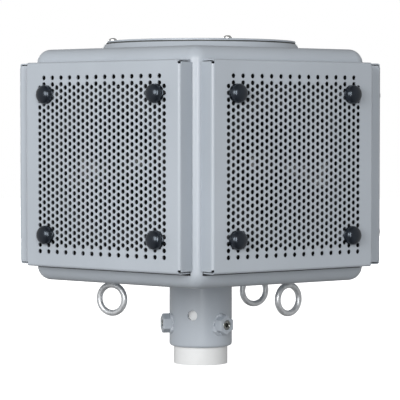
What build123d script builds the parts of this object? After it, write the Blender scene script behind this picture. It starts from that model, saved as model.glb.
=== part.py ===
from build123d import *
from math import cos, hypot, pi, radians, sin, tan
import os

# Siren speaker head on a stub of its mast, in millimetres, +Z up.
# The origin is on the mast axis at the lower end of the stub, and one corner
# of the five-sided cabinet points towards -Y.

# Mast tube and the sleeve that slips over it
mast_diameter = 76.2
mast_wall = 3.2
sleeve_clearance = 0.8
sleeve_wall = 5.55
sleeve_bottom = 25.4
sleeve_length = 98.1
sleeve_rim_radius = 4.0
sight_hole_diameter = 14.5
sight_hole_height = 71.0
sight_hole_turn = -14.3

# Clamp bosses and their set screws
boss_turns = (-77.0, 43.0, 163.0)
boss_across_flats = 24.0
boss_stand = 11.8
boss_height = 57.5
boss_edge_radius = 2.0
set_screw_diameter = 14.0
set_screw_recess = 1.5
hex_key_size = 6.0
hex_key_depth = 7.0

# Cabinet
side_count = 5
cabinet_apothem = 194.5
cabinet_height = 318.8
cabinet_wall = 3.0
corner_radius = 20.5
rim_radius = 20.0
driver_opening_diameter = 190.0
cable_hole_margin = 5.0

# Lid: a sloped ring on the cabinet, a gasket and a flat plate
lid_diameter = 269.0
lid_thickness = 2.3
lid_edge_radius = 0.8
lid_ring_land = 18.0
lid_ring_margin = 1.5
lid_ring_flare = 5.5
lid_ring_height = 8.8
gasket_thickness = 2.0
gasket_inset = 1.2
lid_screw_margin = 6.7
lid_screw_count = 4
lid_screw_turn = 17.9
lid_screw_head_diameter = 11.5
lid_screw_head_height = 3.8
lid_screw_head_side = 1.6
lid_screw_shank = 5.0
lid_screw_clearance = 0.3

# Grille panels: flat sheet with a return flange on each upright edge
side_rise = 1.2
panel_depth = 25.6
panel_corner_inset = 6.8
panel_end_margin = 20.3
panel_sheet = 2.0
bend_radius = 4.5
flange_inset = 2.5
relief_length = 4.0

# The real sheet has 6.2 mm holes on 8.9 mm staggered centres. Here the same
# pattern is three times as coarse, with the same share of open area.
hole_coarseness = 3
hole_pitch = 8.9 * hole_coarseness
hole_diameter = 6.2 * hole_coarseness
hole_sides = 6
plain_side_band = 23.0
plain_end_band = 20.0

# Knobs and the standoffs behind them
knob_square = 190.5
knob_diameter = 25.4
knob_height = 15.0
knob_flange = 3.4
standoff_diameter = 12.0

# Drivers
driver_frame_overlap = 11.0
driver_frame_clearance = 0.5
driver_frame_wall = 5.5
driver_frame_thickness = 3.5
driver_frame_depth = 12.0
cone_neck_diameter = 64.0
cone_depth = 42.0
cone_thickness = 2.0
dome_height = 13.0

# Lifting eyes
eye_turns = (-72.0, 72.0, 144.0)
eye_twists = (-25.0, 41.0, 30.0)
eye_circle_radius = 130.0
eye_ring_diameter = 39.6
eye_section = 8.7
eye_collar_diameter = 18.0
eye_collar_height = 7.0
eye_collar_grip = 2.0

# Sizes and heights that follow
mast_bore = mast_diameter - 2 * mast_wall
sleeve_bore = mast_diameter + 2 * sleeve_clearance
sleeve_diameter = sleeve_bore + 2 * sleeve_wall
boss_face = sleeve_diameter / 2 + boss_stand
cabinet_bottom = sleeve_bottom + sleeve_length
cabinet_top = cabinet_bottom + cabinet_height
side_centre = (cabinet_bottom + cabinet_top) / 2 + side_rise
side_step = 360 / side_count
lid_opening_radius = lid_diameter / 2 - lid_ring_land
gasket_bottom = cabinet_top + lid_ring_height
lid_bottom = gasket_bottom + gasket_thickness
lid_top = lid_bottom + lid_thickness
panel_apothem = cabinet_apothem + panel_depth
panel_width = 2 * (cabinet_apothem * tan(pi / side_count) - panel_corner_inset)
panel_height = cabinet_height - 2 * panel_end_margin
frame_radius = driver_opening_diameter / 2 - driver_frame_clearance
cone_radius = frame_radius - driver_frame_wall
side_names = ("front_right", "rear_right", "rear", "rear_left", "front_left")


def outward(turn, height):
    """Plane on the mast axis that faces outwards, turned from -Y towards +X."""
    angle = radians(turn)
    return Plane(origin=(0, 0, height), x_dir=(cos(angle), sin(angle), 0),
                 z_dir=(sin(angle), -cos(angle), 0))


def turned(*outline):
    """Solid of revolution about Z from lines drawn with radius across and height up."""
    return revolve(make_face(Plane.XZ * (Curve() + list(outline))), Axis.Z)


def rod(diameter, start, end):
    """Round bar along Z between two heights."""
    return Pos(0, 0, start) * Cylinder(diameter / 2, end - start,
                                       align=(Align.CENTER, Align.CENTER, Align.MIN))


def rounded_prism(apothem, bottom, top, corner, rim):
    outline = RegularPolygon(apothem, side_count, major_radius=False, rotation=-90)
    body = Pos(0, 0, bottom) * extrude(outline, top - bottom)
    body = fillet(body.edges().filter_by(Axis.Z), corner)
    levels = body.edges().group_by(Axis.Z)
    return fillet(levels[0] + levels[-1], rim)


def cabinet():
    shell = rounded_prism(cabinet_apothem, cabinet_bottom, cabinet_top, corner_radius, rim_radius)
    shell -= rounded_prism(cabinet_apothem - cabinet_wall, cabinet_bottom + cabinet_wall,
                           cabinet_top - cabinet_wall, corner_radius - cabinet_wall,
                           rim_radius - cabinet_wall)
    for index in range(side_count):
        side = outward(side_step * (index + 0.5), side_centre)
        shell -= side * rod(driver_opening_diameter, cabinet_apothem / 2, cabinet_apothem)
    shell -= rod(2 * lid_opening_radius, side_centre, cabinet_top)
    shell -= rod(mast_bore - 2 * cable_hole_margin, cabinet_bottom, side_centre)
    return shell


def lid_screw_places():
    circle_radius = lid_diameter / 2 - lid_screw_margin
    return [Rot(0, 0, lid_screw_turn + index * 360 / lid_screw_count) * Pos(0, -circle_radius, lid_top)
            for index in range(lid_screw_count)]


def with_screw_holes(disc):
    hole_diameter = lid_screw_shank + 2 * lid_screw_clearance
    for place in lid_screw_places():
        disc -= place * rod(hole_diameter, cabinet_top - lid_top, 0)
    return disc


def lid_ring():
    top_radius = lid_diameter / 2 + lid_ring_margin
    return with_screw_holes(turned(Polyline(
        (lid_opening_radius, cabinet_top), (top_radius + lid_ring_flare, cabinet_top),
        (top_radius, gasket_bottom), (lid_opening_radius, gasket_bottom), close=True)))


def lid_gasket():
    outer = rod(lid_diameter - 2 * gasket_inset, gasket_bottom, lid_bottom)
    return with_screw_holes(outer - rod(2 * lid_opening_radius, gasket_bottom, lid_bottom))


def lid_plate():
    plate = rod(lid_diameter, lid_bottom, lid_top)
    return with_screw_holes(fillet(plate.edges().group_by(Axis.Z)[-1], lid_edge_radius))


def lid_screw():
    head = lid_screw_head_diameter / 2
    shank = lid_screw_shank / 2
    foot = cabinet_top - lid_top
    return turned(
        Polyline((0, lid_screw_head_height), (0, foot), (shank, foot), (shank, 0), (head, 0),
                 (head, lid_screw_head_side)),
        TangentArc((0, lid_screw_head_height), (head, lid_screw_head_side), tangent=(1, 0)))


def knob_places():
    return [Pos(right * knob_square / 2, up * knob_square / 2, 0)
            for right in (-1, 1) for up in (-1, 1)]


def hole_places():
    """Staggered columns, every other one half a pitch lower, clear of the knobs' seats."""
    column_step = hole_pitch * sin(pi / 3)
    columns = int((panel_width - 2 * plain_side_band - hole_diameter) / column_step) + 1
    rows = int((panel_height - 2 * plain_end_band - hole_diameter) / hole_pitch) + 1
    seat = (standoff_diameter + hole_diameter) / 2
    places = []
    for column in range(columns):
        low = column % 2
        for row in range(rows - low):
            across = (column - (columns - 1) / 2) * column_step
            up = (row + low / 2 - (rows - 1) / 2) * hole_pitch
            if hypot(abs(across) - knob_square / 2, abs(up) - knob_square / 2) > seat:
                places.append(Pos(across, up))
    return places


def grille_panel():
    """Perforated sheet in the frame of its own side, with depth outwards along Z."""
    inner_apothem = panel_apothem - panel_sheet
    back = cabinet_apothem
    outer = Pos(0, panel_apothem - panel_depth / 2) * Rectangle(panel_width, panel_depth)
    outer = fillet(outer.vertices().group_by(Axis.Y)[-1], bend_radius)
    inner = Pos(0, inner_apothem - panel_depth) * Rectangle(
        panel_width - 2 * panel_sheet, 2 * panel_depth)
    inner = fillet(inner.vertices().group_by(Axis.Y)[-1], bend_radius - panel_sheet)
    # The plan is drawn with its depth along Y, then stood up so that depth runs outwards.
    plan = Rot(90, 0, 0) * (outer - inner)
    panel = Pos(0, panel_height / 2, 0) * extrude(plan, panel_height, dir=(0, -1, 0))
    bend_line = panel_apothem - bend_radius
    for right in (-1, 1):
        for up in (-1, 1):
            corner = Pos(right * panel_width / 2, up * panel_height / 2, 0)
            flange_end = Pos(0, 0, (back + bend_line) / 2) * Box(
                4 * panel_sheet, 2 * flange_inset, bend_line - back)
            relief = Pos(0, 0, panel_apothem - bend_radius / 2) * Box(
                2 * bend_radius, 2 * relief_length, bend_radius)
            panel -= corner * (flange_end + relief)
    punches = extrude(Sketch() + [place * RegularPolygon(hole_diameter / 2, hole_sides)
                                  for place in hole_places()], 2 * panel_sheet)
    return panel - Pos(0, 0, inner_apothem - panel_sheet / 2) * punches


def knob():
    radius = knob_diameter / 2
    return turned(
        Polyline((0, knob_height), (0, 0), (radius, 0), (radius, knob_flange)),
        TangentArc((0, knob_height), (radius, knob_flange), tangent=(1, 0)))


def standoff():
    return rod(standoff_diameter, 0, panel_depth - panel_sheet)


def driver_frame():
    ring = driver_opening_diameter / 2 + driver_frame_overlap
    return turned(Polyline(
        (cone_radius, driver_frame_thickness), (ring, driver_frame_thickness), (ring, 0),
        (frame_radius, 0), (frame_radius, -driver_frame_depth), (cone_radius, -driver_frame_depth),
        close=True))


def driver_cone():
    neck = cone_neck_diameter / 2
    return turned(Polyline(
        (cone_radius, 0), (neck, -cone_depth), (neck, -cone_depth - cone_thickness),
        (cone_radius, -cone_thickness), close=True))


def driver_dome():
    radius = cone_neck_diameter / 2
    return Pos(0, 0, -cone_depth) * turned(
        Polyline((0, dome_height), (0, -cone_thickness), (radius, -cone_thickness), (radius, 0)),
        TangentArc((0, dome_height), (radius, 0), tangent=(1, 0)))


def eye_bolt(turn, twist):
    collar_foot = cabinet_bottom - eye_collar_height
    ring_centre = collar_foot + eye_collar_grip - (eye_ring_diameter + eye_section) / 2
    ring = Rot(90, 0, 0) * Torus(eye_ring_diameter / 2, eye_section / 2)
    bolt = Pos(0, 0, ring_centre) * ring + rod(eye_collar_diameter, collar_foot, cabinet_bottom)
    return Rot(0, 0, turn) * Pos(0, -eye_circle_radius, 0) * Rot(0, 0, twist - turn) * bolt


def mast_stub():
    return rod(mast_diameter, 0, cabinet_bottom) - rod(mast_bore, 0, cabinet_bottom)


def screw_bore(turn):
    return outward(turn, boss_height) * rod(set_screw_diameter, 0, 2 * boss_face)


def mast_socket():
    sleeve = rod(sleeve_diameter, sleeve_bottom, cabinet_bottom)
    sleeve = fillet(sleeve.edges().group_by(Axis.Z)[0], sleeve_rim_radius)
    sleeve -= rod(sleeve_bore, sleeve_bottom, cabinet_bottom)
    sleeve -= outward(sight_hole_turn, sight_hole_height) * rod(sight_hole_diameter, 0, sleeve_diameter)
    for turn in boss_turns:
        sleeve -= screw_bore(turn)
    return sleeve


def clamp_boss(turn):
    across = boss_across_flats / 2
    block = extrude(RegularPolygon(across, 6, major_radius=False, rotation=30), boss_face)
    block = fillet(block.faces().sort_by(Axis.Z)[-1].edges(), boss_edge_radius)
    boss = outward(turn, boss_height) * block - screw_bore(turn)
    return boss - rod(sleeve_diameter, boss_height - boss_across_flats, boss_height + boss_across_flats)


def set_screw(turn):
    head = boss_face - set_screw_recess
    key = Pos(0, 0, head - hex_key_depth) * extrude(
        RegularPolygon(hex_key_size / 2, 6, major_radius=False), hex_key_depth)
    return outward(turn, boss_height) * (rod(set_screw_diameter, mast_diameter / 2, head) - key)


def save(name, *shapes):
    solids = [solid for shape in shapes for solid in shape.solids()]
    export_step(Compound(label=name, children=solids), f"parts/{name}.step")


os.makedirs("parts", exist_ok=True)
save("cabinet", cabinet())
save("lid_ring", lid_ring())
save("lid_gasket", lid_gasket())
save("lid_plate", lid_plate())
save("lid_screws", *[place * lid_screw() for place in lid_screw_places()])
save("mast_stub", mast_stub())
save("mast_socket", mast_socket())
save("clamp_bosses", *[clamp_boss(turn) for turn in boss_turns])
save("set_screws", *[set_screw(turn) for turn in boss_turns])
save("eye_bolts", *[eye_bolt(turn, twist) for turn, twist in zip(eye_turns, eye_twists)])

sides = [outward(side_step * (index + 0.5), side_centre) for index in range(side_count)]
on_cabinet = [side * Pos(0, 0, cabinet_apothem) for side in sides]
save("standoffs", *[at * place * standoff() for at in on_cabinet for place in knob_places()])
save("driver_frames", *[at * driver_frame() for at in on_cabinet])
save("driver_cones", *[at * driver_cone() for at in on_cabinet])
save("driver_domes", *[at * driver_dome() for at in on_cabinet])

panel = grille_panel()
for name, side in zip(side_names, sides):
    on_panel = side * Pos(0, 0, panel_apothem)
    save(f"grille_{name}", side * panel)
    save(f"knobs_{name}", *[on_panel * place * knob() for place in knob_places()])
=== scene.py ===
from math import acos, asin, cos, degrees, exp, pi, radians, sin

import bmesh
import bpy
from mathutils import Matrix, Vector, noise
from mathutils.geometry import delaunay_2d_cdt


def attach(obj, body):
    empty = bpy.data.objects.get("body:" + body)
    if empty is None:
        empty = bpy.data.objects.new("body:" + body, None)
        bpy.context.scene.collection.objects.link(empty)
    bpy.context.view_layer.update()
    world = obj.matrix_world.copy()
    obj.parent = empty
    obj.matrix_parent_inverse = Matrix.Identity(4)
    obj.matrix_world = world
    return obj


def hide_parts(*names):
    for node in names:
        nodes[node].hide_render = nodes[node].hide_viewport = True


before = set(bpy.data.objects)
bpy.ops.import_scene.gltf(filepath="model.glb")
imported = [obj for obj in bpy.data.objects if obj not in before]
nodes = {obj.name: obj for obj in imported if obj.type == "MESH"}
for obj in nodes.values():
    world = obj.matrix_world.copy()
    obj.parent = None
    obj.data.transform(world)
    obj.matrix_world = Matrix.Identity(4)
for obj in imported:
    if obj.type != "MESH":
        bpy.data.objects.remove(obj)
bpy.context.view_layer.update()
print("frame loaded:", len(nodes), "nodes")

mm = 0.001                                   # shapes are drawn in millimetres, as the part is
sides = {"front_right": 36, "rear_right": 108, "rear": 180, "rear_left": 252, "front_left": 324}
head = {"apothem": 194.5, "middle": 284.1}   # from the mast axis to a wall, and a wall's middle


class Value:
    # one shader socket that can be added, taken away, multiplied and divided
    def __init__(self, mixer, socket):
        self.mixer, self.socket = mixer, socket

    def combine(self, operation, first, second):
        return self.mixer.add("ShaderNodeMath", {"operation": operation}, {0: first, 1: second})

    def __add__(self, other):
        return self.combine("ADD", self, other)

    def __radd__(self, other):
        return self.combine("ADD", other, self)

    def __sub__(self, other):
        return self.combine("SUBTRACT", self, other)

    def __rsub__(self, other):
        return self.combine("SUBTRACT", other, self)

    def __mul__(self, other):
        return self.combine("MULTIPLY", self, other)

    def __rmul__(self, other):
        return self.combine("MULTIPLY", other, self)

    def __truediv__(self, other):
        return self.combine("DIVIDE", self, other)

    def __rtruediv__(self, other):
        return self.combine("DIVIDE", other, self)


class Mixer:
    # adds nodes to one node tree
    def __init__(self, tree):
        self.tree = tree

    def add(self, kind, settings, sockets, output=0):
        node = self.tree.nodes.new(kind)
        for key, value in settings.items():
            if key == "stops":               # where a ramp leaves black and reaches white
                for stop, position in zip(node.color_ramp.elements, value):
                    stop.position = position
            else:
                setattr(node, key, value)
        for key, value in sockets.items():
            if isinstance(value, Value):
                self.tree.links.new(value.socket, node.inputs[key])
            else:
                node.inputs[key].default_value = value
        return Value(self, node.outputs[output])


class Finish(Mixer):
    # a material with one main shader, and the ways to mix its patterns
    def __init__(self, name, **settings):
        self.material = bpy.data.materials.new(name)
        self.material.use_nodes = True
        super().__init__(self.material.node_tree)
        self.shader = self.tree.nodes["Principled BSDF"]
        for socket, value in settings.items():
            self.shader.inputs[socket.replace("_", " ")].default_value = value

    def place(self):                         # where a point is on the object, in metres
        return self.add("ShaderNodeTexCoord", {}, {}, "Object")

    def stretched(self, scale):
        return self.add("ShaderNodeMapping", {}, {"Vector": self.place(), "Scale": scale})

    def grain(self, scale, detail=2.0, roughness=0.5, along=None):
        return self.add("ShaderNodeTexNoise", {}, {"Vector": along or self.place(), "Scale": scale,
                                                   "Detail": detail, "Roughness": roughness})

    def ramp(self, pattern, stops):
        return self.add("ShaderNodeValToRGB", {"stops": stops}, {"Fac": pattern})

    def blend(self, mask, low, high):
        return self.add("ShaderNodeMix", {"data_type": "RGBA"}, {0: mask, 6: low, 7: high}, 2)

    def shaded(self, mask, colour, shades):  # one colour, between its two shades
        return self.blend(mask, tint(colour, shades[0]), tint(colour, shades[1]))

    def bump(self, height, depth, strength=0.5):
        return self.add("ShaderNodeBump", {}, {"Height": height, "Distance": depth,
                                               "Strength": strength})

    def feed(self, **links):
        for socket, value in links.items():
            self.tree.links.new(value.socket, self.shader.inputs[socket.replace("_", " ")])
        return self.material


def tint(colour, factor=1.0):
    return (*[channel * factor for channel in colour], 1)


paint = {
    "colour": (0.452, 0.495, 0.545), "shades": (0.955, 1.035), "stops": (0.36, 0.64),
    "cloudSize": 7, "streakSize": 26, "streakScale": (1, 1, 0.12), "flakeSize": 2600,
    "clouds": 0.62, "streaks": 0.23, "flakes": 0.15, "roughness": 0.38, "unevenness": 0.12,
    "peelSize": 900, "peelDepth": 0.00006, "gloss": 0.4, "glossRoughness": 0.22,
}
runPaint = {**paint, "gloss": 1.0, "glossRoughness": 0.08}   # lies smooth where it runs over a weld
enamel = {
    "colour": (0.86, 0.87, 0.87), "shades": (1.0, 0.93), "stops": (0.45, 0.75),
    "smudgeSize": 22, "rubSize": 60, "rubScale": (1, 1, 0.15), "roughness": 0.28,
    "unevenness": 0.14, "peelSize": 500, "peelDepth": 0.00004, "gloss": 0.25, "glossRoughness": 0.08,
}
plastic = {
    "colour": (0.006, 0.008, 0.012), "shades": (1.0, 1.9), "stops": (0.5, 0.85),
    "dustSize": 140, "fineSize": 2400, "fineDepth": 0.00001, "roughness": 0.20,
    "unevenness": 0.07, "reflection": 0.68, "sheen": (0.76, 0.87, 1.0),
}
zinc = {
    "dark": (0.50, 0.52, 0.54), "light": (0.80, 0.82, 0.84), "stops": (0.2, 0.6),
    "spangle": 260, "smearSize": 95, "crystals": 0.35, "smears": 0.65, "metal": 0.8,
    "roughness": 0.34, "unevenness": 0.14, "relief": 0.4, "depth": 0.00016,
}
steel = {
    "colour": (0.80, 0.80, 0.79), "shades": (1.0, 0.7), "stops": (0.4, 0.8), "wearSize": 300,
    "roughness": 0.14, "unevenness": 0.12, "fineSize": 1800, "fineDepth": 0.00002,
}
# a darker copy of the steel: painted shade for the set screws down in their bores
darkenedSteel = {**steel, "colour": (0.40, 0.41, 0.39), "roughness": 0.08}
rubber = {
    "colour": (0.070, 0.075, 0.072), "shades": (0.75, 1.35), "cloudSize": 45,
    "roughness": 0.57, "unevenness": 0.1, "fineSize": 1200, "fineDepth": 0.0001,
}
coneSheet = {**rubber, "colour": (0.009, 0.009, 0.011), "roughness": 0.05, "fineSize": 2200,
             "fineDepth": 0.00004}
frameBlack = {**rubber, "colour": (0.011, 0.011, 0.012), "roughness": 0.45}
# painted shade: black for the sheet that stands in for the dark behind the grilles
shadeSheet = {**rubber, "colour": (0.006, 0.006, 0.007), "roughness": 0.85, "fineSize": 700,
        "fineDepth": 0.0006}


def powderCoat(name, p):
    finish = Finish(name, Coat_Roughness=p["glossRoughness"], Coat_Weight=p["gloss"])
    clouds = finish.grain(p["cloudSize"], detail=3)
    streaks = finish.grain(p["streakSize"], detail=4, roughness=0.6,
                           along=finish.stretched(p["streakScale"]))
    flakes = finish.grain(p["flakeSize"], detail=1)
    peel = finish.grain(p["peelSize"], roughness=0.45)
    tone = p["clouds"] * clouds + p["streaks"] * streaks + p["flakes"] * flakes
    return finish.feed(
        Base_Color=finish.shaded(finish.ramp(tone, p["stops"]), p["colour"], p["shades"]),
        Roughness=p["roughness"] + p["unevenness"] * streaks,
        Normal=finish.bump(peel, p["peelDepth"], strength=0.6))


def glossEnamel(name, p):
    finish = Finish(name, Coat_Roughness=p["glossRoughness"], Coat_Weight=p["gloss"])
    smudges = finish.grain(p["smudgeSize"], detail=5, roughness=0.65)
    rubbed = finish.grain(p["rubSize"], detail=3, roughness=0.6,
                          along=finish.stretched(p["rubScale"]))
    return finish.feed(
        Base_Color=finish.shaded(finish.ramp(smudges, p["stops"]), p["colour"], p["shades"]),
        Roughness=p["roughness"] + p["unevenness"] * rubbed,
        Normal=finish.bump(finish.grain(p["peelSize"]), p["peelDepth"]))


def mouldedPlastic(name, p):
    finish = Finish(name, Specular_IOR_Level=p["reflection"], Specular_Tint=tint(p["sheen"]))
    dust = finish.grain(p["dustSize"], detail=4, roughness=0.7)
    return finish.feed(
        Base_Color=finish.shaded(finish.ramp(dust, p["stops"]), p["colour"], p["shades"]),
        Roughness=p["roughness"] + p["unevenness"] * dust,
        Normal=finish.bump(finish.grain(p["fineSize"]), p["fineDepth"]))


def hotDipZinc(name, p):
    finish = Finish(name, Metallic=p["metal"])
    crystals = finish.add("ShaderNodeTexVoronoi", {}, {"Vector": finish.place(),
                                                       "Scale": p["spangle"]})
    smear = finish.grain(p["smearSize"], detail=5, roughness=0.65)
    tone = finish.ramp(p["crystals"] * crystals + p["smears"] * smear, p["stops"])
    return finish.feed(
        Base_Color=finish.blend(tone, tint(p["dark"]), tint(p["light"])),
        Roughness=p["roughness"] + p["unevenness"] * smear,
        Normal=finish.bump(smear + p["relief"] * crystals, p["depth"]))


def turnedSteel(name, p):
    finish = Finish(name, Metallic=1.0)
    wear = finish.grain(p["wearSize"], detail=4, roughness=0.6)
    return finish.feed(
        Base_Color=finish.shaded(finish.ramp(wear, p["stops"]), p["colour"], p["shades"]),
        Roughness=p["roughness"] + p["unevenness"] * wear,
        Normal=finish.bump(finish.grain(p["fineSize"]), p["fineDepth"]))


def mattBlack(name, p):
    finish = Finish(name)
    clouds = finish.grain(p["cloudSize"], detail=3)
    return finish.feed(
        Base_Color=finish.shaded(clouds, p["colour"], p["shades"]),
        Roughness=p["roughness"] + p["unevenness"] * clouds,
        Normal=finish.bump(finish.grain(p["fineSize"], detail=3), p["fineDepth"], strength=0.6))


greyCoat = powderCoat("greyPowderCoat", paint)
weldCoat = powderCoat("weldPowderCoat", runPaint)
whiteEnamel = glossEnamel("whiteMastEnamel", enamel)
knobBlack = mouldedPlastic("knobPlastic", plastic)
zincCoat = hotDipZinc("galvanisedSteel", zinc)
brightSteel = turnedSteel("stainlessSteel", steel)
steelWithPaintedShade = turnedSteel("steelWithPaintedShade", darkenedSteel)
gasketRubber = mattBlack("gasketRubber", rubber)
coneBlack = mattBlack("coneSheet", coneSheet)
frameCoat = mattBlack("driverFrameCoat", frameBlack)
# the sheet behind the grilles is painted shade
blackShadeFinish = mattBlack("paintedShadeBacking", shadeSheet)

dressed = {
    "cabinet": greyCoat, "lid_ring": greyCoat, "lid_plate": greyCoat, "mast_socket": greyCoat,
    "clamp_bosses": greyCoat, "lid_gasket": gasketRubber, "mast_stub": whiteEnamel,
    "standoffs": zincCoat, "driver_frames": frameCoat,
}
for nodeName, finish in dressed.items():
    for slot in nodes[nodeName].material_slots:
        slot.material = finish
print("finishes mixed:", len(bpy.data.materials))


def sidePlace(turn, height, out):            # x across the side, y up, z outwards
    angle = radians(turn)
    outwards = Vector((sin(angle), -cos(angle), 0))
    place = Matrix(((cos(angle), sin(angle), 0), (0, 0, 1), outwards)).transposed().to_4x4()
    place.translation = outwards * out + Vector((0, 0, height))
    return place


def circlePlace(circle, turn, height, twist):     # z stays up, on a circle round the mast axis
    angle = radians(turn)
    spot = Matrix.Translation((circle * sin(angle), -circle * cos(angle), height))
    return spot @ Matrix.Rotation(radians(twist), 4, "Z")


def roundRing(bm, place, radius, height, count, reach=None):
    if radius == 0:
        return [bm.verts.new(place @ Vector((0, 0, height)))]
    ring = []
    for step in range(count):
        angle = 2 * pi * step / count
        r = radius * (reach(angle) if reach else 1)
        ring.append(bm.verts.new(place @ Vector((r * cos(angle), r * sin(angle), height))))
    return ring


def skin(bm, rings, closed=False):           # faces between rings of points, one after the other
    pairs = list(zip(rings, rings[1:])) + ([(rings[-1], rings[0])] if closed else [])
    for low, high in pairs:
        count = max(len(low), len(high))
        for step in range(count):
            after = (step + 1) % count
            corners = [low[step % len(low)], low[after % len(low)],
                       high[after % len(high)], high[step % len(high)]]
            bm.faces.new(list(dict.fromkeys(corners)))


def turnedForm(bm, place, profile, count):   # the profile is (radius, height), from axis to axis
    skin(bm, [roundRing(bm, place, radius, height, count) for radius, height in profile])


def hexReach(angle):                         # a ring with this reach has six flat sides
    return cos(pi / 6) / cos((angle + pi / 6) % (pi / 3) - pi / 6)


def arcPoints(centre, radii, start, end, count):     # along an ellipse, angles in degrees
    points = []
    for step in range(count + 1):
        angle = radians(start + (end - start) * step / count)
        points.append((centre[0] + radii[0] * cos(angle), centre[1] + radii[1] * sin(angle)))
    return points


class FlatSheet:
    # a flat blank with its outline, round holes and the lines that it bends along
    def __init__(self, outline):
        self.points = list(outline)
        self.lines = [(i, (i + 1) % len(self.points)) for i in range(len(self.points))]
        self.holeOf = [-1] * len(self.points)
        self.holeCount = 0

    def hole(self, x, y, radius, count, start=0.0):
        first = len(self.points)
        for step in range(count):
            angle = 2 * pi * (step + start) / count
            self.points.append((x + radius * cos(angle), y + radius * sin(angle)))
            self.lines.append((first + step, first + (step + 1) % count))
            self.holeOf.append(self.holeCount)
        self.holeCount += 1

    def crease(self, start, end):            # and the same line on the opposite side
        for sign in (-1, 1):
            self.lines.append((len(self.points), len(self.points) + 1))
            self.points += [(start[0] * sign, start[1] * sign), (end[0] * sign, end[1] * sign)]
            self.holeOf += [-1, -1]

    def cut(self):                           # the triangles that aren't in a hole
        points = [Vector(point) for point in self.points]
        verts, _, faces, origins, _, _ = delaunay_2d_cdt(points, self.lines, [], 1, 1e-4)
        holeOf = [self.holeOf[source[0]] if source else -1 for source in origins]
        kept = [list(face) for face in faces
                if holeOf[face[0]] < 0 or len({holeOf[i] for i in face}) > 1]
        return verts, kept


def sheetBody(bm, front, back, faces):       # both skins, and the rims of the outline and holes
    directed = set()
    for face in faces:
        bm.faces.new([front[i] for i in face])
        bm.faces.new([back[i] for i in reversed(face)])
        directed.update(zip(face, face[1:] + face[:1]))
    for a, b in directed:
        if (b, a) not in directed:
            bm.faces.new([front[a], back[a], back[b], front[b]])


def makePiece(name, bm, finish, replaced=(), sharp=35):
    bmesh.ops.recalc_face_normals(bm, faces=bm.faces)
    bm.transform(Matrix.Scale(mm, 4))
    for face in bm.faces:
        face.smooth = True
    for edge in bm.edges:
        edge.smooth = edge.calc_face_angle(0) < radians(sharp)
    mesh = bpy.data.meshes.new(name)
    bm.to_mesh(mesh)
    bm.free()
    mesh.materials.append(finish)
    piece = bpy.data.objects.new(name, mesh)
    bpy.context.scene.collection.objects.link(piece)
    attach(piece, "root")
    if replaced:
        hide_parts(*replaced)


# Each grille is a flat blank with all its holes, folded into a tray with four flanges. The
# flanges over the top and bottom end in ears, a relief cut away from the upright ones.
grille = {
    "apothem": 220.1, "width": 268.0, "height": 278.2, "depth": 25.6, "sheet": 1.6,
    "bend": 3.8, "bendSteps": 5, "bendMargin": 0.8, "slit": 1.5, "earGap": 2.6,
    "reliefIn": 0.3, "reliefBelow": 2.0, "reliefAbove": 1.6,
    "hole": 6.5, "holeSides": 14, "pitch": 8.9, "columns": 29, "rows": 26, "stagger": 1.5,
    "waviness": 0.35, "waveSize": (70, 85), "waveSeed": 3.7, "calmEdge": 12,
}
grille["bendLength"] = grille["bend"] * pi / 2
grille["bendU"] = grille["width"] / 2 - grille["bend"]       # where the side bends start
grille["bendV"] = grille["height"] / 2 - grille["bend"]      # where the top and bottom bends start
grille["reach"] = grille["bendLength"] + grille["depth"] - grille["bend"]


def holeCentres(g):                          # every other column stands one and a half holes lower
    across = g["pitch"] * sin(pi / 3)
    top = (g["rows"] - 1) / 2 + g["stagger"] / 2
    for column in range(g["columns"]):
        first = top - (g["stagger"] if column % 2 == 0 else 0)
        for row in range(g["rows"]):
            yield (column - (g["columns"] - 1) / 2) * across, (first - row) * g["pitch"]


def grilleBlank(g):
    bendU, bendV, length, margin = g["bendU"], g["bendV"], g["bendLength"], g["bendMargin"]
    sideEnd = g["height"] / 2 - g["sheet"] - g["slit"]
    cut, ear = bendU - g["reliefIn"], g["width"] / 2 - g["earGap"]
    low, high = bendV - g["reliefBelow"], bendV + g["reliefAbove"]
    corner = [(bendU + g["reach"], sideEnd), (bendU + length, sideEnd), (bendU + length, low),
              (cut, low), (cut, high), (ear, high), (ear, bendV + g["reach"])]
    half = corner + [(-u, v) for u, v in reversed(corner)]
    sheet = FlatSheet(half + [(-u, -v) for u, v in half])
    for x, y in holeCentres(g):
        sheet.hole(x, y, g["hole"] / 2, g["holeSides"], 0.5)
    sheet.crease((bendU - margin, -bendV), (bendU - margin, bendV))
    sheet.crease((-bendU, bendV - margin), (bendU, bendV - margin))
    for step in range(g["bendSteps"] + 1):
        along = length * step / g["bendSteps"]
        wide = ear if along > g["reliefAbove"] else cut
        sheet.crease((bendU + along, -low), (bendU + along, low))
        sheet.crease((-wide, bendV + along), (wide, bendV + along))
    sheet.crease((bendU + length + margin, -sideEnd), (bendU + length + margin, sideEnd))
    sheet.crease((-ear, bendV + length + margin), (ear, bendV + length + margin))
    return sheet.cut()


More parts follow.
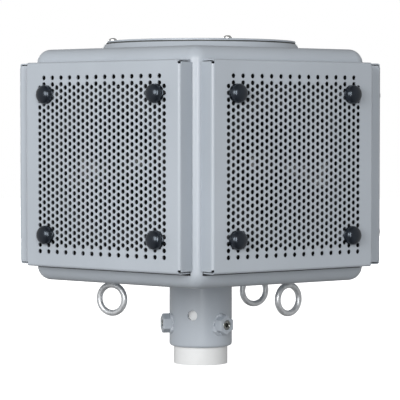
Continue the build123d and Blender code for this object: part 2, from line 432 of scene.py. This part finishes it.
def fold(g, u, v, inside):                   # from the flat blank to the bent sheet
    signU, signV, u, v = (1 if u >= 0 else -1), (1 if v >= 0 else -1), abs(u), abs(v)
    sheet, touch = (g["sheet"] if inside else 0), 0.001
    radius = g["bend"] - sheet
    inEar = v > g["bendV"] + g["reliefAbove"] - touch
    overTop = v > g["bendV"] + touch and (u < g["bendU"] or inEar)
    if overTop or u > g["bendU"]:
        start, run = (g["bendV"], v - g["bendV"]) if overTop else (g["bendU"], u - g["bendU"])
        if run <= g["bendLength"]:
            angle = run / g["bend"]
            across, depth = start + radius * sin(angle), radius * cos(angle) - g["bend"]
        else:
            across, depth = start + radius, -g["bend"] - (run - g["bendLength"])
        u, v = (u, across) if overTop else (across, v)
    else:                                    # the face waves a little, but not at its bends
        calm = min(1, (g["bendU"] - u) / g["calmEdge"], max(0, g["bendV"] - v) / g["calmEdge"])
        waveU, waveV = g["waveSize"]
        spot = Vector((signU * u / waveU, signV * v / waveV, g["waveSeed"]))
        depth = -sheet - g["waviness"] * calm * (0.5 + 0.5 * noise.noise(spot))
    return Vector((signU * u, signV * v, depth))


blankPoints, blankFaces = grilleBlank(grille)
for sideName, turn in sides.items():
    bm = bmesh.new()
    place = sidePlace(turn, head["middle"], grille["apothem"])
    outer = [bm.verts.new(place @ fold(grille, u, v, False)) for u, v in blankPoints]
    inner = [bm.verts.new(place @ fold(grille, u, v, True)) for u, v in blankPoints]
    sheetBody(bm, outer, inner, blankFaces)
    makePiece(f"grille_sheet_{sideName}", bm, greyCoat, [f"grille_{sideName}"])
print("grilles folded, faces in each blank:", len(blankFaces))


knob = {"square": 190.5, "radius": 12.7, "domeCentre": 5.2, "domeRise": 8.3, "domeFoot": 2.7,
        "domeSteps": 20, "flange": ((1.5, 2.5), (0.4, 2.4), (0, 2.05), (0, 0.3), (0.3, 0)),
        "count": 40}


def knobProfile(k):                          # a flattened dome, a groove and a round flange
    lowest = degrees(asin((k["domeFoot"] - k["domeCentre"]) / k["domeRise"]))
    dome = arcPoints((0, k["domeCentre"]), (k["radius"], k["domeRise"]), 90, lowest, k["domeSteps"])
    flange = [(k["radius"] - inwards, up) for inwards, up in k["flange"]]
    return [(0, k["domeCentre"] + k["domeRise"])] + dome[1:] + flange + [(0, 0)]


for sideName, turn in sides.items():
    bm = bmesh.new()
    place = sidePlace(turn, head["middle"], grille["apothem"])
    half = knob["square"] / 2
    for x, y in ((-half, -half), (-half, half), (half, -half), (half, half)):
        turnedForm(bm, place @ Matrix.Translation((x, y, 0)), knobProfile(knob), knob["count"])
    makePiece(f"ball_knobs_{sideName}", bm, knobBlack, [f"knobs_{sideName}"])
print("knobs turned")


driver = {
    "coneRadius": 89.0, "coneEdge": -1.6, "coneCount": 72, "coneSteps": 40, "curve": 0.22,
    "rollInner": 75.0, "rollHeight": 4.6, "rollMiddle": -1.0, "rollFoot": -2.0, "glueLand": 1.5,
    "neck": 32.0, "depth": 42.0, "ribs": (0.42, 0.62, 0.8), "ribWidth": 0.018, "ribHeight": 0.9,
    "domeHeight": 13.0, "domeLip": (2.2, 1.6), "domeCount": 48,
    "screwCircle": 100.7, "screws": 8, "frameFront": 3.5, "screwCount": 16,
    "screwHead": ((0, 2.2), (2.16, 2.0), (3.24, 1.3), (3.6, 0.5), (3.6, 0)),
}


def coneProfile(d):                          # the roll, and a ribbed slope down to the neck
    middle, half = (d["coneRadius"] + d["rollInner"]) / 2, (d["coneRadius"] - d["rollInner"]) / 2
    roll = arcPoints((middle, d["rollMiddle"]), (half, d["rollHeight"]), 0, 180, 10)
    rim, foot = d["rollInner"] - d["glueLand"], d["rollFoot"]
    slope = []
    for step in range(1, d["coneSteps"] + 1):
        part = step / d["coneSteps"]
        bowed = (1 - d["curve"]) * part + d["curve"] * part * part
        rib = sum(exp(-((part - spot) / d["ribWidth"]) ** 2) for spot in d["ribs"])
        slope.append((rim + (d["neck"] - rim) * part,
                      foot - (d["depth"] + foot) * bowed + rib * d["ribHeight"]))
    return [(d["coneRadius"], d["coneEdge"])] + roll + [(rim, foot)] + slope


def domeProfile(d):
    rise, lipOut, lipUp = d["domeHeight"], *d["domeLip"]
    sphere = (d["neck"] ** 2 + rise ** 2) / (2 * rise)
    cap = arcPoints((0, rise - sphere - d["depth"]), (sphere, sphere), 90,
                    degrees(acos(d["neck"] / sphere)), 12)
    return [(0, rise - d["depth"])] + cap[1:] + [(d["neck"] + lipOut, lipUp - d["depth"])]


cones, domes, driverScrews = bmesh.new(), bmesh.new(), bmesh.new()
for turn in sides.values():
    place = sidePlace(turn, head["middle"], head["apothem"])
    turnedForm(cones, place, coneProfile(driver), driver["coneCount"])
    turnedForm(domes, place, domeProfile(driver), driver["domeCount"])
    for number in range(driver["screws"]):
        angle, circle = 2 * pi * (number + 0.5) / driver["screws"], driver["screwCircle"]
        spot = (circle * cos(angle), circle * sin(angle), driver["frameFront"])
        turnedForm(driverScrews, place @ Matrix.Translation(spot), driver["screwHead"],
                   driver["screwCount"])
makePiece("driver_cone_sheets", cones, coneBlack, ["driver_cones"])
makePiece("driver_dust_caps", domes, coneBlack, ["driver_domes"])
makePiece("driver_frame_screws", driverScrews, frameCoat)

# Black sheet behind each grille, cut out for the driver and the posts: painted shade that darkens what
# shows through the holes, and below each tray a painted shadow line
lining = {"width": 263.0, "above": 136.0, "below": 141.9, "front": 1.6, "back": 0.05,
          "hole": 106.4, "holeSides": 64, "post": 6.2, "postSides": 20}


def liningBlank(s):
    half, low, high, post = s["width"] / 2, -s["below"], s["above"], knob["square"] / 2
    sheet = FlatSheet([(-half, low), (half, low), (half, high), (-half, high)])
    sheet.hole(0, 0, s["hole"], s["holeSides"])
    for x, y in ((-post, -post), (-post, post), (post, -post), (post, post)):
        sheet.hole(x, y, s["post"], s["postSides"])
    return sheet.cut()


bm = bmesh.new()
liningPoints, liningFaces = liningBlank(lining)
for turn in sides.values():
    place = sidePlace(turn, head["middle"], head["apothem"])
    front, back = [[bm.verts.new(place @ Vector((x, y, lining[skinName]))) for x, y in liningPoints]
                   for skinName in ("front", "back")]
    sheetBody(bm, front, back, liningFaces)
makePiece("painted_shade_backing", bm, blackShadeFinish)
print("loudspeakers built")


keyHole = {"mouth": 1.06, "mouthDepth": 0.05, "bevelDepth": 0.5, "point": 0.8, "count": 48}


def socketScrew(bm, place, outline, rim, socket, depth):
    # the outline runs from the seat to the top, and rim is the last radius before the socket
    k, top, flats = keyHole, outline[-1][1], socket / 2 / cos(pi / 6)
    rings = [roundRing(bm, place, radius, height, k["count"]) for radius, height in outline]
    rings.append(roundRing(bm, place, rim, top, k["count"]))
    for size, below in ((flats * k["mouth"], k["mouthDepth"]), (flats, k["bevelDepth"]),
                        (flats, depth)):
        rings.append(roundRing(bm, place, size, top - below, k["count"], hexReach))
    rings.append(roundRing(bm, place, 0, top - depth - k["point"], k["count"]))
    skin(bm, rings)


lidScrew = {"circle": 127.8, "turn": 17.9, "twist": 17, "count": 4, "seat": 455.4, "radius": 5.75,
            "edge": 0.2, "side": 1.6, "height": 3.8, "bulge": (0.3, 0.6, 0.85, 1.05),
            "rim": 0.4, "socket": 4.0, "socketDepth": 2.2}
r, side, rise = lidScrew["radius"], lidScrew["side"], lidScrew["height"]
outline = [(0, 0), (r - lidScrew["edge"], 0), (r, lidScrew["edge"]), (r, side)]
outline += [(r * cos(a), side + (rise - side) * sin(a)) for a in lidScrew["bulge"][:-1]]
crown = r * cos(lidScrew["bulge"][-1])
outline.append((crown, rise))
bm = bmesh.new()
for number in range(lidScrew["count"]):
    at = circlePlace(lidScrew["circle"], lidScrew["turn"] + number * 360 / lidScrew["count"],
                     lidScrew["seat"], lidScrew["twist"] * number)
    socketScrew(bm, at, outline, crown - lidScrew["rim"], lidScrew["socket"],
                lidScrew["socketDepth"])
makePiece("lid_button_screws", bm, brightSteel, ["lid_screws"])

boss = {"turns": (-77, 43, 163), "height": 57.5, "acrossFlats": 24.0, "sleeve": 44.45}
clampScrew = {"foot": 40.0, "radius": 7.0, "face": 55.9, "edge": 1.3, "lipIn": 1.5,
              "lip": (1.2, 1.1), "rim": 2.9, "socket": 6.0, "socketDepth": 6.0}
r, face, lip = clampScrew["radius"], clampScrew["face"], clampScrew["lip"]
outline = [(r, clampScrew["foot"]), (r, face - clampScrew["edge"])]
outline += arcPoints((r - clampScrew["lipIn"], face - lip[1]), lip, 0, 180, 10)
bm = bmesh.new()
for turn in boss["turns"]:
    socketScrew(bm, sidePlace(turn, boss["height"], 0), outline, r - clampScrew["rim"],
                clampScrew["socket"], clampScrew["socketDepth"])
# the set screws take the darker steel, painted shade for their bores
makePiece("clamp_screws", bm, steelWithPaintedShade, ["set_screws"])
print("screws cut")


# Weld round each boss is thin, with a few lumps: each tack is its angle and how much it adds
weld = {
    "size": 2.1, "wide": 1.15, "high": 0.85, "clear": 0.6, "sink": 0.2, "wander": 0.5,
    "wanderSize": 2.3, "seed": 3.1, "seedStep": 7.7, "thin": 0.5, "ripple": 0.1, "rippleSteps": 5,
    "steps": 150, "sides": 10, "tackWidth": 0.06,
    "tacks": (((-40, 1.25), (42, 1.1)), ((215, 1.7), (100, 1.2), (262, 0.6)),
              ((215, 1.3), (60, 1.0))),
}
socketWeld = {"radius": 45.2, "height": 122.6, "steps": 360, "sides": 8, "size": 2.0,
              "wobble": 0.18, "wobbleSize": 6, "seed": 9, "ripple": 0.1, "rippleSteps": 6}


def bead(bm, points, normals, sizes, count):
    # a closed string of weld on a surface: points are its middle, normals leave the surface
    rings = []
    for step, (point, normal, size) in enumerate(zip(points, normals, sizes)):
        along = (points[(step + 1) % len(points)] - points[step - 1]).normalized()
        across = along.cross(normal).normalized()
        ring = []
        for corner in range(count):
            angle = 2 * pi * corner / count
            ring.append(bm.verts.new(point + across * size * weld["wide"] * cos(angle)
                                     + normal * size * weld["high"] * sin(angle)))
        rings.append(ring)
    skin(bm, rings, True)


def bossBead(bm, turn, tacks, seed, b, w):   # follows the six sides of the boss on the sleeve
    points, normals, sizes = [], [], []
    for step in range(w["steps"]):
        angle = 2 * pi * step / w["steps"]
        spot = Vector((cos(angle), sin(angle), seed))
        reach = b["acrossFlats"] / 2 * hexReach(angle + pi / 6) / cos(pi / 6) + w["clear"]
        reach += w["wander"] * noise.noise(spot * w["wanderSize"])
        around = radians(turn) + asin(reach * cos(angle) / b["sleeve"])
        normal = Vector((sin(around), -cos(around), 0))
        points.append(normal * (b["sleeve"] + w["sink"])
                      + Vector((0, 0, b["height"] + reach * sin(angle))))
        normals.append(normal)
        lump = sum(grow * exp((cos(angle - radians(tack)) - 1) / w["tackWidth"])
                   for tack, grow in tacks)
        ripple = w["ripple"] * sin(step * 2 * pi / w["rippleSteps"])
        sizes.append(w["size"] * (w["thin"] + lump + ripple))
    bead(bm, points, normals, sizes, w["sides"])


def socketBead(bm, w):                       # under the cabinet, round the top of the sleeve
    points, normals, sizes = [], [], []
    for step in range(w["steps"]):
        angle = 2 * pi * step / w["steps"]
        points.append(Vector((w["radius"] * sin(angle), -w["radius"] * cos(angle), w["height"])))
        normals.append(Vector((sin(angle), -cos(angle), -1)).normalized())
        wobble = noise.noise(Vector((cos(angle), sin(angle), w["seed"])) * w["wobbleSize"])
        ripple = w["ripple"] * sin(step * 2 * pi / w["rippleSteps"])
        sizes.append(w["size"] * (1 + w["wobble"] * wobble + ripple))
    bead(bm, points, normals, sizes, w["sides"])


bm = bmesh.new()
for number, (turn, tacks) in enumerate(zip(boss["turns"], weld["tacks"])):
    bossBead(bm, turn, tacks, weld["seed"] + weld["seedStep"] * number, boss, weld)
socketBead(bm, socketWeld)
makePiece("weld_beads", bm, weldCoat, sharp=60)
print("welds laid")


eye = {
    "turns": (-72, 72, 144), "twists": (-25, 41, 30), "circle": 130.0, "collarFoot": 116.5,
    "ring": 19.8, "section": 4.35, "grip": 2.0, "steps": 96, "sides": 24,
    "neckGrowth": 0.25, "neckPower": 8, "flattening": 0.02, "collarCount": 40,
    "collar": ((0, -1.5), (4.8, -1.5), (6.6, -1.0), (8.0, -0.2), (8.5, 0.3), (9.0, 0.9),
               (9.0, 6.3), (8.3, 7.0), (0, 7.0)),
}


def liftingEye(bm, place, e):
    # forged ring that thickens towards its neck, and a turned collar above it
    rings = []
    for step in range(e["steps"]):
        angle = 2 * pi * step / e["steps"]
        outwards = Vector((cos(angle), 0, sin(angle)))
        deeper = 1 + e["neckGrowth"] * max(0, sin(angle)) ** e["neckPower"]
        ring = []
        for corner in range(e["sides"]):
            turn = 2 * pi * corner / e["sides"]
            reach = e["section"] * cos(turn) * (1 - e["flattening"] * cos(2 * turn))
            depth = e["section"] * deeper * sin(turn)
            spot = outwards * (e["ring"] + reach) + Vector((0, depth, 0))
            ring.append(bm.verts.new(place @ spot))
        rings.append(ring)
    skin(bm, rings, True)
    foot = e["ring"] + e["section"] - e["grip"]
    turnedForm(bm, place, [(radius, foot + up) for radius, up in e["collar"]], e["collarCount"])


bm = bmesh.new()
ringMiddle = eye["collarFoot"] + eye["grip"] - eye["ring"] - eye["section"]
for turn, twist in zip(eye["turns"], eye["twists"]):
    liftingEye(bm, circlePlace(eye["circle"], turn, ringMiddle, twist), eye)
makePiece("lifting_eyes", bm, zincCoat, ["eye_bolts"], sharp=50)
print("lifting eyes forged")


# The studio is in metres: a white floor and surround, and three soft boxes
studio = {
    "floor": 6.0, "floorTiles": 8, "floorShade": 0.93, "floorGlow": 0.85, "floorRoughness": 0.9,
    "above": 0.11, "below": 0.04, "left": 0.52, "right": 0.44, "front": 0.10, "back": 0.14,
}
lamps = {
    "keyBox": {"turn": -23, "height": 0.8, "distance": 2.6, "wide": 1.3, "tall": 1.2, "power": 33.0},
    "frontBox": {"turn": 6, "height": 0.7, "distance": 3.2, "wide": 0.45, "tall": 2.0, "power": 40.0},
    "rearBox": {"turn": 186, "height": 0.4, "distance": 3.0, "wide": 2.2, "tall": 0.8, "power": 32.0},
}
white = (1, 1, 1, 1)

bm = bmesh.new()
bmesh.ops.create_grid(bm, x_segments=studio["floorTiles"], y_segments=studio["floorTiles"],
                      size=studio["floor"])
mesh = bpy.data.meshes.new("studioFloor")
bm.to_mesh(mesh)
bm.free()
floor = bpy.data.objects.new("studioFloor", mesh)
bpy.context.scene.collection.objects.link(floor)
floorFinish = Finish("studioFloorPaint", Base_Color=tint((studio["floorShade"],) * 3),
                     Roughness=studio["floorRoughness"], Emission_Color=white,
                     Emission_Strength=studio["floorGlow"])
mesh.materials.append(floorFinish.material)
floor.visible_diffuse = floor.visible_glossy = False     # the surround below lights the object instead

world = bpy.data.worlds.new("studioSurround")
bpy.context.scene.world = world
world.use_nodes = True
sky = Mixer(world.node_tree)
towards = sky.add("ShaderNodeTexCoord", {}, {}, "Generated")


def lobe(x, y, z):                           # soft half of the surround that faces one way
    facing = sky.add("ShaderNodeVectorMath", {"operation": "DOT_PRODUCT"},
                     {0: towards, 1: (x, y, z)}, 1)
    return sky.add("ShaderNodeMath", {"operation": "MAXIMUM"}, {0: facing, 1: 0.0})


strength = (studio["above"] * lobe(0, 0, 1) + studio["below"] * lobe(0, 0, -1)
            + studio["left"] * lobe(-1, 0, 0) + studio["right"] * lobe(1, 0, 0)
            + studio["front"] * lobe(0, -1, 0) + studio["back"] * lobe(0, 1, 0))
background = sky.tree.nodes["Background"]
background.inputs["Color"].default_value = white
sky.tree.links.new(strength.socket, background.inputs["Strength"])
backdrop = sky.add("ShaderNodeBackground", {}, {"Color": white, "Strength": 1.0})
seen = sky.add("ShaderNodeLightPath", {}, {}, "Is Camera Ray")
shown = sky.add("ShaderNodeMixShader", {},
                {0: seen, 1: Value(sky, background.outputs[0]), 2: backdrop})
sky.tree.links.new(shown.socket, sky.tree.nodes["World Output"].inputs["Surface"])

for lampName, lamp in lamps.items():
    light = bpy.data.lights.new(lampName, "AREA")
    light.shape, light.size, light.size_y = "RECTANGLE", lamp["wide"], lamp["tall"]
    light.energy = lamp["power"]
    box = bpy.data.objects.new(lampName, light)
    angle = radians(lamp["turn"])
    box.location = (lamp["distance"] * sin(angle), -lamp["distance"] * cos(angle), lamp["height"])
    aim = Vector((0, 0, head["middle"] * mm)) - box.location
    box.rotation_euler = aim.to_track_quat("-Z", "Y").to_euler()
    bpy.context.scene.collection.objects.link(box)

view = {"distance": 2.747, "turn": 1.322, "aim": 1.342, "height": 0.3402, "pitch": 2.263,
        "lens": 174.2, "sensor": 36}
lens = bpy.data.cameras.new("photoCamera")
lens.lens, lens.sensor_width = view["lens"], view["sensor"]
camera = bpy.data.objects.new("photoCamera", lens)
turn = radians(view["turn"])
camera.location = (view["distance"] * sin(turn), -view["distance"] * cos(turn), view["height"])
camera.rotation_euler = (radians(90 - view["pitch"]), 0, radians(view["aim"]))
bpy.context.scene.collection.objects.link(camera)
bpy.context.scene.camera = camera
bpy.context.scene.view_settings.view_transform = "Standard"
print("studio lit")
